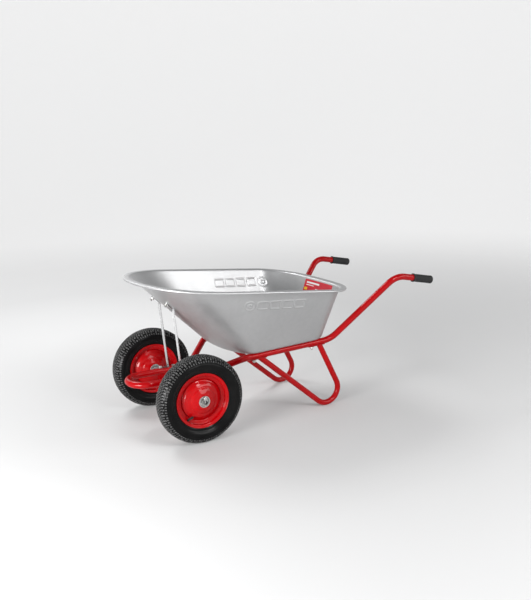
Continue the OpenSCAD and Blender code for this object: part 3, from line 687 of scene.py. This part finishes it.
def make_label(rows, normals, half_count):
    """The label on the inside of the rear wall, as a thin patch that lies on the sheet."""
    rear = half_count - 1
    columns = slice(rear - LABEL_COLUMNS_NEAR, rear + LABEL_COLUMNS_FAR)
    levels = slice(LABEL_FIRST_ROW, FILLET_ROWS + len(wall_levels()))
    part, way = rows[levels, columns], normals[levels, columns]
    count, across = part.shape[:2]
    back = part - way * (SHEET / 2 + LABEL_BACK_GAP)
    front = part - way * (SHEET / 2 + LABEL_FRONT_GAP)
    points = np.concatenate([back.reshape(-1, 3), front.reshape(-1, 3)])
    faces = grid_faces(count, across) + grid_faces(count, across, first=count * across)
    rim = list(range(across)) + [i * across + across - 1 for i in range(1, count)]
    rim += [(count - 1) * across + j for j in range(across - 2, -1, -1)]
    rim += [i * across for i in range(count - 2, 0, -1)]
    step = count * across
    faces += [(a, b, step + b, step + a) for a, b in zip(rim, rim[1:] + rim[:1])]
    label = piece("label_sheet", points, faces, "barrow", "label_print")
    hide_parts("label")
    uv = label.data.uv_layers.new(name="print")
    y0, y1 = row(part[0, 0])[1], row(part[0, -1])[1]
    z0, z1 = row(part[0, 0])[2], row(part[-1, 0])[2]
    for loop in label.data.loops:
        co = label.data.vertices[loop.vertex_index].co
        uv.data[loop.index].uv = ((co.y - y1) / (y0 - y1), (co.z - z0) / (z1 - z0))


tray_rows, tray_normals, tray_half = make_tray()
make_label(tray_rows, tray_normals, tray_half)

# ---- tyres ----

# Half the width of the crown's arc, straight across and along the arc
SHOULDER_Z = 23.5
SHOULDER_W = CROWN_R * math.asin(SHOULDER_Z / CROWN_R)
# How far the blocks stand up, and how far they reach into the tyre's body below that
TREAD_DEPTH, BLOCK_ROOT = 4.2, 1.6
PITCHES = 96
# Crown blocks: place across the tread, and which way they lean
CROWN_ROWS = [(-19.6, -1.0), (-11.8, 1.0), (-3.9, -1.0), (3.9, 1.0), (11.8, -1.0), (19.6, 1.0)]


def tyre_surface(w):
    """(radius, height) and outward normal of the tyre, w millimetres round it from the crown's middle."""
    side, w = np.sign(w), np.abs(w)
    crown = w / CROWN_R
    shoulder_r = CROWN_AT + math.sqrt(CROWN_R**2 - SHOULDER_Z**2)
    start = math.atan2(SHOULDER_Z, shoulder_r - SECTION_AT)
    section = start + (w - SHOULDER_W) / SECTION_R
    on_crown = w <= SHOULDER_W
    angle = np.where(on_crown, crown, section)
    crown_r, section_r = CROWN_AT + CROWN_R * np.cos(crown), SECTION_AT + SECTION_R * np.cos(section)
    r = np.where(on_crown, crown_r, section_r)
    z = np.where(on_crown, CROWN_R * np.sin(crown), SECTION_R * np.sin(section))
    return r, side * z, np.cos(angle), side * np.sin(angle)


def tread_block(build, side, turn, w, half_turn, half_w, skew, cap=0.7):
    """One rubber block: a base under the surface, upright sides, and a bevelled top."""
    corners = [(-1, -1), (-1, 0), (-1, 1), (1, 1), (1, 0), (1, -1)]
    points = []
    for inset, depth in ((0, TREAD_DEPTH + BLOCK_ROOT), (0, cap), (cap, 0)):
        for a, b in corners:
            where = w + b * (half_w - inset)
            r, z, nr, nz = tyre_surface(np.array(where))
            angle = turn + (a * (half_turn - inset) + b * skew) / TYRE_R
            height = np.clip(z - depth * nz, -TYRE_HALF_W, TYRE_HALF_W)
            points.append(wheel_points(side, r - depth * nr, angle, height))
    base_and_top = [(0, 1, 4, 5), (1, 2, 3, 4), (12, 13, 16, 17), (13, 14, 15, 16)]
    build.add(points, base_and_top + grid_faces(3, 6, False, True))


def add_tread(build, side):
    """Staggered rows of crown blocks, then shoulder blocks and side blocks, long and short by turns."""
    pitch = 2 * math.pi / PITCHES
    for k in range(PITCHES):
        for i, (w, lean) in enumerate(CROWN_ROWS):
            turn = (k + 0.5 * (i % 2)) * pitch
            tread_block(build, side, turn, w, half_turn=3.7, half_w=2.8, skew=1.2 * lean)
        turn = (k + 0.25) * pitch
        reach, side_half = (5.6, 4.5) if k % 2 else (8.4, 3.2)
        for way in (-1, 1):
            w = way * (23.6 + reach)
            tread_block(build, side, turn, w, half_turn=3.6, half_w=reach - 0.4, skew=0, cap=1.0)
            w = way * 45.5
            tread_block(build, side, turn, w, half_turn=2.6, half_w=side_half, skew=0, cap=0.8)


# Outline of the sidewall from the shoulder to the rim, as (radius, height)
SIDEWALL = [
    (172.2, 26.8), (168.6, 31.8), (164, 35.8), (158, 38.9), (151, 40.7), (144.5, 41),
    (138, 39.8), (131.5, 37), (125.5, 33.6), (119.5, 31.2), (115.4, 30), (113.6, 28.8),
]
# Seat on the rim and inner edge of the bead
BEAD_LINE = [
    (112.9, 27.2), (108, 25.4), (104.4, 25.0), (103.4, 21.5), (102, 21), (102, 15.2), (110.2, 15.1),
]
HOLLOW_AT, HOLLOW_R = 139, 33
# Raised rings on the sidewall: radius, height, width
RIBS = [(160.5, 0.8, 1.0), (151, 0.5, 0.8), (149, 0.5, 0.8), (128, 0.45, 0.8), (117.8, 1.0, 1.2)]


def sidewall_line():
    """The sidewall's outline from the shoulder to the rim, with its raised rings."""
    line = smooth_line(SIDEWALL, 1.3)
    rise = np.zeros(len(line))
    for at, height, width in RIBS:
        rise += height * np.exp(-(((line[:, 0] - at) / width) ** 2))
    t = np.gradient(line, axis=0)
    n = np.stack([-t[:, 1], t[:, 0]], 1) / np.linalg.norm(t, axis=1)[:, None]
    n *= np.sign(n[:, 1:2] + 0.2)
    moved = line + n * (rise[:, None] - 0.6)
    return np.minimum(moved, [math.inf, TYRE_HALF_W])


def tyre_loop():
    """Closed outline of the tyre's section: tread floor, sidewalls, beads and the hollow for the tube."""
    r, z, nr, nz = tyre_surface(np.linspace(0, 27, 8))
    crown = np.stack([r - TREAD_DEPTH * nr, z - TREAD_DEPTH * nz], 1)
    angle = np.radians(np.linspace(151.5, 0, 12))
    hollow = np.stack([HOLLOW_AT + HOLLOW_R * np.cos(angle), HOLLOW_R * np.sin(angle)], 1)
    half = np.vstack([crown, sidewall_line(), BEAD_LINE, hollow])
    mirrored = half[-2:0:-1] * np.array([1, -1])
    return np.vstack([half, mirrored])


HAIRLINES, HAIRLINE_HALF_W, VENTS = 13, 0.35, 46


def add_mould_marks(build, side):
    """Short raised hairlines and vent nubs on the outer and inner sidewalls."""
    line = sidewall_line()
    low, high = -0.6, 0.75
    for face in (1, -1):
        for k in range(HAIRLINES):
            angle = (k + random.uniform(-0.3, 0.3)) * 2 * math.pi / HAIRLINES
            start = random.randrange(10, 24)
            part = line[start : start + random.randrange(9, 16)]
            half = HAIRLINE_HALF_W / part[:, 0]
            loops = []
            for lift, turn in ((low, -1), (high, -1), (high, 1), (low, 1)):
                height = face * np.minimum(part[:, 1] + lift, TYRE_HALF_W)
                loops.append(wheel_points(side, part[:, 0], angle + turn * half, height))
            points = np.stack(loops, 1).reshape(-1, 3)
            faces = grid_faces(len(part), 4, False, True) + [(0, 1, 2, 3)]
            last = 4 * (len(part) - 1)
            build.add(points, faces + [(last, last + 1, last + 2, last + 3)])
        for _ in range(VENTS):
            angle = random.uniform(0, 2 * math.pi)
            r, z = line[random.randrange(4, len(line) - 6)]
            add_nub(build, side, r, angle, face * z, face, random.uniform(0.6, 1.1))


def add_nub(build, side, r, angle, z, face, radius):
    """A six-sided stub that stands on the sidewall."""
    ring = []
    for height, grow in ((-0.6, 1.0), (0.5, 0.8)):
        level = max(-TYRE_HALF_W, min(TYRE_HALF_W, z + face * height))
        for a in np.arange(6) * math.pi / 3:
            turn = angle + grow * radius * math.sin(a) / r
            ring.append(wheel_points(side, r + grow * radius * math.cos(a), turn, level))
    build.add(ring, grid_faces(2, 6, False, True) + [tuple(range(6)), tuple(range(6, 12))])


def make_tyre(name):
    """The tyre: a turned body with its blocks and marks, all closed shapes in one piece."""
    side = SIDES[name]
    build = Build()
    build.add(*turned_on_wheel(side, tyre_loop(), 168))
    add_tread(build, side)
    add_mould_marks(build, side)
    tyre = build.done(f"tyre_tread_{name}", WHEEL_BODY[name], "tyre_rubber", sharp_deg=32)
    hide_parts(f"tyre_{name}")


# ---- rims and hubs ----

# (radius, height) lines through the middle of the pressed sheets
DISC = [
    (84.1, 3), (84.1, 8), (83.6, 11), (81, 13.4), (77, 15.6), (73, 19), (65, 24), (57, 27.2),
    (53, 28.6), (50, 30.8), (46, 33), (36, 37.2), (31, 39), (27, 39.9), (24.9, 40.5),
]
HOOP_HALF = [
    (86, 0), (86, 7), (87, 10), (92, 11.6), (98, 13.2), (100.4, 14.6), (101, 17), (101, 22.6),
    (102.2, 25.6), (104.6, 27), (108.4, 27.8), (111.2, 28.4), (112.2, 29.6),
]
RIM_SHEET, RIM_SEGMENTS = 1.8, 144
DIMPLES, DIMPLE_R, DIMPLE_WIDTH, DIMPLE_DEPTH = 6, 33, 2.6, 0.9


def make_hoop(name):
    """The rolled hoop that carries the tyre's beads."""
    half = smooth_line(HOOP_HALF, 1.6)
    line = np.vstack([half[:0:-1] * np.array([1, -1]), half])
    build = Build()
    build.add(*turned_on_wheel(SIDES[name], sheet_loop(line, RIM_SHEET), RIM_SEGMENTS))
    hoop = build.done(f"rim_rolled_{name}", WHEEL_BODY[name], "rim_paint", sharp_deg=40)
    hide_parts(f"rim_hoop_{name}")


def make_disc(name, way):
    """A pressed disc with the small round dimples of its spot welds near the hub."""
    loop = sheet_loop(smooth_line(DISC, 1.5), RIM_SHEET)
    angle = full_turn(RIM_SEGMENTS)
    r = loop[None, :, 0] + 0 * angle
    near_hub = np.exp(-(((r - DIMPLE_R) / DIMPLE_WIDTH) ** 2))
    dimple = np.clip(np.cos(DIMPLES * angle), 0, 1) ** 14
    h = loop[None, :, 1] - DIMPLE_DEPTH * near_hub * dimple
    points = wheel_points(SIDES[name], r, angle + 0 * r, way * h)
    build = Build()
    build.add(points.reshape(-1, 3), grid_faces(RIM_SEGMENTS, len(loop), True, True))
    which = "outer" if way > 0 else "inner"
    disc = build.done(f"rim_disc_{which}_{name}", WHEEL_BODY[name], "rim_paint", sharp_deg=40)
    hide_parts(f"disc_{which}_{name}")


def make_hub_weld(name):
    """Weld bead where each disc meets the hub tube, with the ripples of its passes."""
    build = Build()
    segments, around = 120, 10
    weld_r, weld_h, bead_r = 24.3, 40.5, 1.5
    turn, section = full_turn(segments), full_turn(around).T
    ripple = bead_r + 0.22 * np.sin(26 * turn) + 0.12 * np.sin(7 * turn + 1)
    for way in (-1, 1):
        r = weld_r + ripple * np.cos(section)
        h = weld_h + ripple * np.sin(section)
        points = wheel_points(SIDES[name], r, turn + 0 * r, way * h)
        build.add(points.reshape(-1, 3), grid_faces(segments, around, True, True))
    build.done(f"hub_welds_{name}", WHEEL_BODY[name], "rim_paint")


def make_bearing_cage(name):
    """Ribbon cages that hold the balls of the two bearings apart."""
    build = Build()
    segments, balls, race_r, bearing_h = 108, 9, 15.5, 36.5
    half_w, thick = 1.7, 0.6
    r = race_r + half_w * np.array([[-1, 1, 1, -1]])
    turn = full_turn(segments)
    swell = np.clip(np.cos(balls * turn), 0, 1) ** 0.6
    for middle in (-bearing_h, bearing_h):
        for way in (-1, 1):
            height = way * (0.7 + 2.9 * swell)
            h = middle + height + way * np.array([[0, 0, thick, thick]])
            points = wheel_points(SIDES[name], r + 0 * turn, turn + 0 * r, h)
            build.add(points.reshape(-1, 3), grid_faces(segments, 4, True, True))
    build.done(f"bearing_cages_{name}", WHEEL_BODY[name], "zinc_fastener")


for wheel in SIDES:
    make_tyre(wheel)
    make_hoop(wheel)
    make_disc(wheel, 1)
    make_disc(wheel, -1)
    make_hub_weld(wheel)
    make_bearing_cage(wheel)

# ---- grips ----

# The frame tube's last straight run, from its bend to its end
HANDLE = np.array([942, 311, 572])
GRIP_END = np.array([1134, 316, 534])
# (radius, height) of the grip, with height 0 at the tube's end and its hollow last
GRIP_LINE = [
    (0, 5), (9, 5), (13.5, 4.6), (16.4, 3.2), (17.8, 1), (18.1, -2), (17.6, -5), (17.2, -9),
    (17.1, -30), (17.1, -60), (17.1, -88), (17.3, -95), (18.2, -97.5), (19, -98.6), (19, -102),
    (18.2, -103), (14.05, -103), (14.05, 0.4), (0, 0.4),
]
GRIP_RIBS, GRIP_RIB_RISE = 28, 0.32


def grip_ribs(angle, r, h):
    """Fine lengthways ribs between the two collars."""
    ribbed = (r > 16.9) & (r < 17.25) & (h < -8) & (h > -93)
    return r + np.where(ribbed, GRIP_RIB_RISE * np.cos(GRIP_RIBS * angle), 0)


def make_grip(name):
    """A rubber grip pushed onto the tube's end."""
    flip = np.array([1, SIDES[name], 1])
    origin, start = GRIP_END * flip, HANDLE * flip
    build = Build()
    build.add(*turned(origin, origin - start, GRIP_LINE, 168, grip_ribs))
    grip = build.done(f"grip_ribbed_{name}", "barrow", "grip_rubber", sharp_deg=50)
    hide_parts(f"grip_{name}")


for hand in SIDES:
    make_grip(hand)

# ---- fasteners ----

# In metres: how far from a bolt's axis only its head reaches, the thread's radius, and how far the
# thread runs into the head
SHANK_CLEAR, BOLT_R, THREAD_LAP = 0.006, 0.004, 0.0005


def solids(node):
    """The separate solids of a CAD node, each as an array of points in metres.

    The vertices left to visit are in a dict: its order is the same on every run, and a set's isn't.
    """
    bm = bmesh.new()
    bm.from_mesh(frame["nodes"][node].data)
    bmesh.ops.remove_doubles(bm, verts=bm.verts, dist=1e-6)
    left, found = dict.fromkeys(bm.verts), []
    while left:
        queue = [left.popitem()[0]]
        part = list(queue)
        while queue:
            for edge in queue.pop().link_edges:
                for v in edge.verts:
                    if v in left:
                        del left[v]
                        queue.append(v)
                        part.append(v)
        found.append(np.array([v.co[:] for v in part]))
    bm.free()
    return sorted(found, key=lambda p: tuple(np.round(p.mean(0), 4)))


def span(points, origin, axis):
    """Lowest and highest place of the points along an axis, and their widest distance from it."""
    along = (points - origin) @ axis
    radius = np.linalg.norm(points - origin - along[:, None] * axis, axis=1)
    return along.min(), along.max(), radius.max()


def corner_way(points, origin, axis):
    """The way from an axis to the outermost of the points, which is a corner if they are a hexagon's."""
    away = points - origin
    away = away - (away @ axis)[:, None] * axis
    return away[np.argmax(np.linalg.norm(away, axis=1).round(7))]


def bolt_axis(points):
    """Middle of a bolt and the direction of its length."""
    middle = (points.min(0) + points.max(0)) / 2
    vectors = np.linalg.eigh(np.cov((points - middle).T))[1]
    return middle, vectors[:, 2]


def add_nut(build, origin, axis, low, high, radius, corner):
    """Hexagon nut or head with both ends chamfered; corner is the way to one of its corners."""
    x = corner / np.linalg.norm(corner)
    y = np.cross(axis, x)
    chamfer = 0.10 * radius
    half_side = math.pi / 6
    flat = radius * math.cos(half_side)
    around = 36
    points = []
    for height, round_end in ((low, True), (low + chamfer, False), (high - chamfer, False), (high, True)):
        for k in range(around):
            a = k * 2 * math.pi / around
            from_corner = abs((a + half_side) % (2 * half_side) - half_side)
            reach = flat * 0.985 if round_end else flat / math.cos(half_side - from_corner)
            points.append(origin + height * axis + reach * (math.cos(a) * x + math.sin(a) * y))
    ends = [tuple(range(around)), tuple(range(3 * around, 4 * around))]
    build.add(points, grid_faces(4, around, False, True) + ends)


def add_thread(build, origin, axis, low, high, radius, pitch=0.00125):
    """Threaded end of a bolt, as rings of crests and roots."""
    end_r, root_r = radius * 0.8, radius * 0.86
    line = [(0, low), (end_r, low)]
    h, crest = low + pitch / 2, True
    while h < high:
        line.append((radius if crest else root_r, h))
        h, crest = h + pitch / 2, not crest
    line += [(end_r, high), (0, high)]
    build.add(*turned(origin, axis, line, 24))


def add_dome(build, origin, axis, seat, top, radius):
    """Shallow round head of a carriage bolt, from its seat to its crown."""
    way = 1 if top > seat else -1
    height = abs(top - seat)
    brim = 0.10
    line = [(0, seat), (radius * 0.96, seat), (radius, seat + way * height * brim)]
    for t in np.linspace(0, 1, 9)[1:]:
        a = t * math.pi / 2
        h = seat + way * height * (brim + (1 - brim) * math.sin(a))
        line.append((radius * math.cos(a) ** 0.8, h))
    build.add(*turned(origin, axis, line, 36))


def make_carriage_bolts(name, bolt_node, nut_node):
    """Carriage bolts with domed heads, and the nuts on their threaded ends."""
    bolts, nuts = Build(), Build()
    nut_parts = solids(nut_node)
    for points in solids(bolt_node):
        middle, axis = bolt_axis(points)
        low, high, head_r = span(points, middle, axis)
        along = (points - middle) @ axis
        radius = np.linalg.norm(points - middle - along[:, None] * axis, axis=1)
        if along[radius > SHANK_CLEAR].mean() < 0:
            axis, along, low, high = -axis, -along, -high, -low
        seat = along[radius > SHANK_CLEAR].min()
        nut = min(nut_parts, key=lambda p: np.linalg.norm(p.mean(0) - middle))
        nut_low, nut_high, nut_r = span(nut, middle, axis)
        add_dome(bolts, middle, axis, seat, high, head_r)
        add_thread(bolts, middle, axis, low, seat + THREAD_LAP, BOLT_R)
        corner = corner_way(nut, middle, axis)
        add_nut(nuts, middle, axis, nut_low, nut_high, nut_r, corner)
    done = bolts.done(f"{name}_bolts_domed", "barrow", "zinc_fastener", in_row_frame=True)
    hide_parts(bolt_node)
    done = nuts.done(f"{name}_nuts_chamfered", "barrow", "zinc_fastener", in_row_frame=True)
    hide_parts(nut_node)


def make_axle_bolts():
    """Hexagon bolts through the saddles, with their nuts."""
    bolts, nuts = Build(), Build()
    up = np.array([0, 0, 1.0])
    for points in solids("axle_bolts"):
        middle = (points.min(0) + points.max(0)) / 2
        low, high, head_r = span(points, middle, up)
        radius = np.hypot(points[:, 0] - middle[0], points[:, 1] - middle[1])
        head = points[radius > SHANK_CLEAR]
        seat = head[:, 2].min() - middle[2]
        add_nut(bolts, middle, up, seat, high, head_r, corner_way(head, middle, up))
        add_thread(bolts, middle, up, low, seat + THREAD_LAP, BOLT_R)
    for points in solids("axle_nuts"):
        middle = (points.min(0) + points.max(0)) / 2
        low, high, nut_r = span(points, middle, up)
        add_nut(nuts, middle, up, low, high, nut_r, corner_way(points, middle, up))
    done = bolts.done("saddle_bolts", "barrow", "zinc_fastener", in_row_frame=True)
    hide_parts("axle_bolts")
    done = nuts.done("saddle_nuts", "barrow", "zinc_fastener", in_row_frame=True)
    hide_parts("axle_nuts")


make_carriage_bolts("stay", "stay_bolts", "stay_nuts")
make_carriage_bolts("tray", "tray_bolts", "tray_nuts")
make_axle_bolts()

# ---- room and light ----


def make_floor():
    """A plain pale floor that sweeps up into a wall far away on every side.

    It glows with painted light, though it is no lamp: a painted patch of light behind the barrow,
    and a painted glow that grows more and more towards the wall, standing in for a studio's wide lamps.
    """
    flat, rise = 4.6, 4.2
    line = [(0, 0), (1.5, 0), (3, 0)]
    for a in np.linspace(0, math.pi / 2, 15):
        line.append((flat + rise * math.sin(a), rise * (1 - math.cos(a))))
    points, faces = turned((0, 0, 0), (0, 0, 1), line, 96)
    mesh = bpy.data.meshes.new("floor")
    mesh.from_pydata(points.tolist(), [], faces)
    mesh.shade_smooth()
    floor = bpy.data.objects.new("floor", mesh)
    bpy.context.scene.collection.objects.link(floor)
    pale = (0.56, 0.56, 0.56)
    f = Finish("studio_floor", pale, roughness=0.8)
    f.rough(f.spread(f.noise(3, 2), 0.77, 0.85))
    axes = f.tree.nodes.new("ShaderNodeSeparateXYZ")
    f.link(f.place(), axes.inputs["Vector"])
    painted_pool_x, painted_pool_y = -0.2, 1.3
    beside = f.math("SUBTRACT", axes.outputs["X"], painted_pool_x)
    behind = f.math("SUBTRACT", axes.outputs["Y"], painted_pool_y)
    # Painted light: the floor glows in a patch behind the barrow.
    painted_light_pool = f.spread(f.distance(beside, behind), 0.14, 0, start=0.5, stop=1.7)
    far_off = f.distance(axes.outputs["X"], axes.outputs["Y"])
    # Painted glow: the floor glows more and more towards the far wall, though it is no lamp.
    wall = f.spread(far_off, 0, 0.52, start=1.0, stop=5.5)
    f.set("Emission Color", (1, 1, 1, 1))
    f.link(f.math("ADD", painted_light_pool, wall), f.shader.inputs["Emission Strength"])
    mesh.materials.append(f.material)


def make_world():
    """Pale surroundings seen above the sweep's edge and in reflections."""
    world = bpy.data.worlds.new("studio")
    bpy.context.scene.world = world
    world.use_nodes = True
    background = world.node_tree.nodes["Background"]
    background.inputs["Color"].default_value = (0.97, 0.98, 1.0, 1)
    background.inputs["Strength"].default_value = 0.28


def make_light(name, at, aim, size, watts):
    """A soft rectangular light, placed in the row frame's metres."""
    lamp = bpy.data.lights.new(name, "AREA")
    lamp.shape = "RECTANGLE"
    lamp.size, lamp.size_y = size
    lamp.energy = watts
    obj = bpy.data.objects.new(name, lamp)
    obj.location = at
    obj.rotation_euler = (Vector(aim) - Vector(at)).to_track_quat("-Z", "Y").to_euler()
    bpy.context.scene.collection.objects.link(obj)


make_floor()
make_world()
make_light("window", (0.14, -2.9, 2.4), (-0.2, 0, 0.3), (0.75, 0.65), 28)
make_light("front_left", (-2.7, -1.1, 0.6), (0, 0, 0.4), (1.3, 0.9), 100)
make_light("front_right", (1.45, -2.7, 1.7), (0, 0.3, 0.5), (3.2, 0.9), 56)
make_light("high_back", (-1.0, 1.9, 2.9), (0, 0, 0.2), (1.4, 1.0), 54)
make_light("behind", (-0.6, 3.6, 2.2), (-0.1, 0.7, 0), (2.4, 1.0), 14)

view_settings = bpy.context.scene.view_settings
view_settings.view_transform = "Standard"
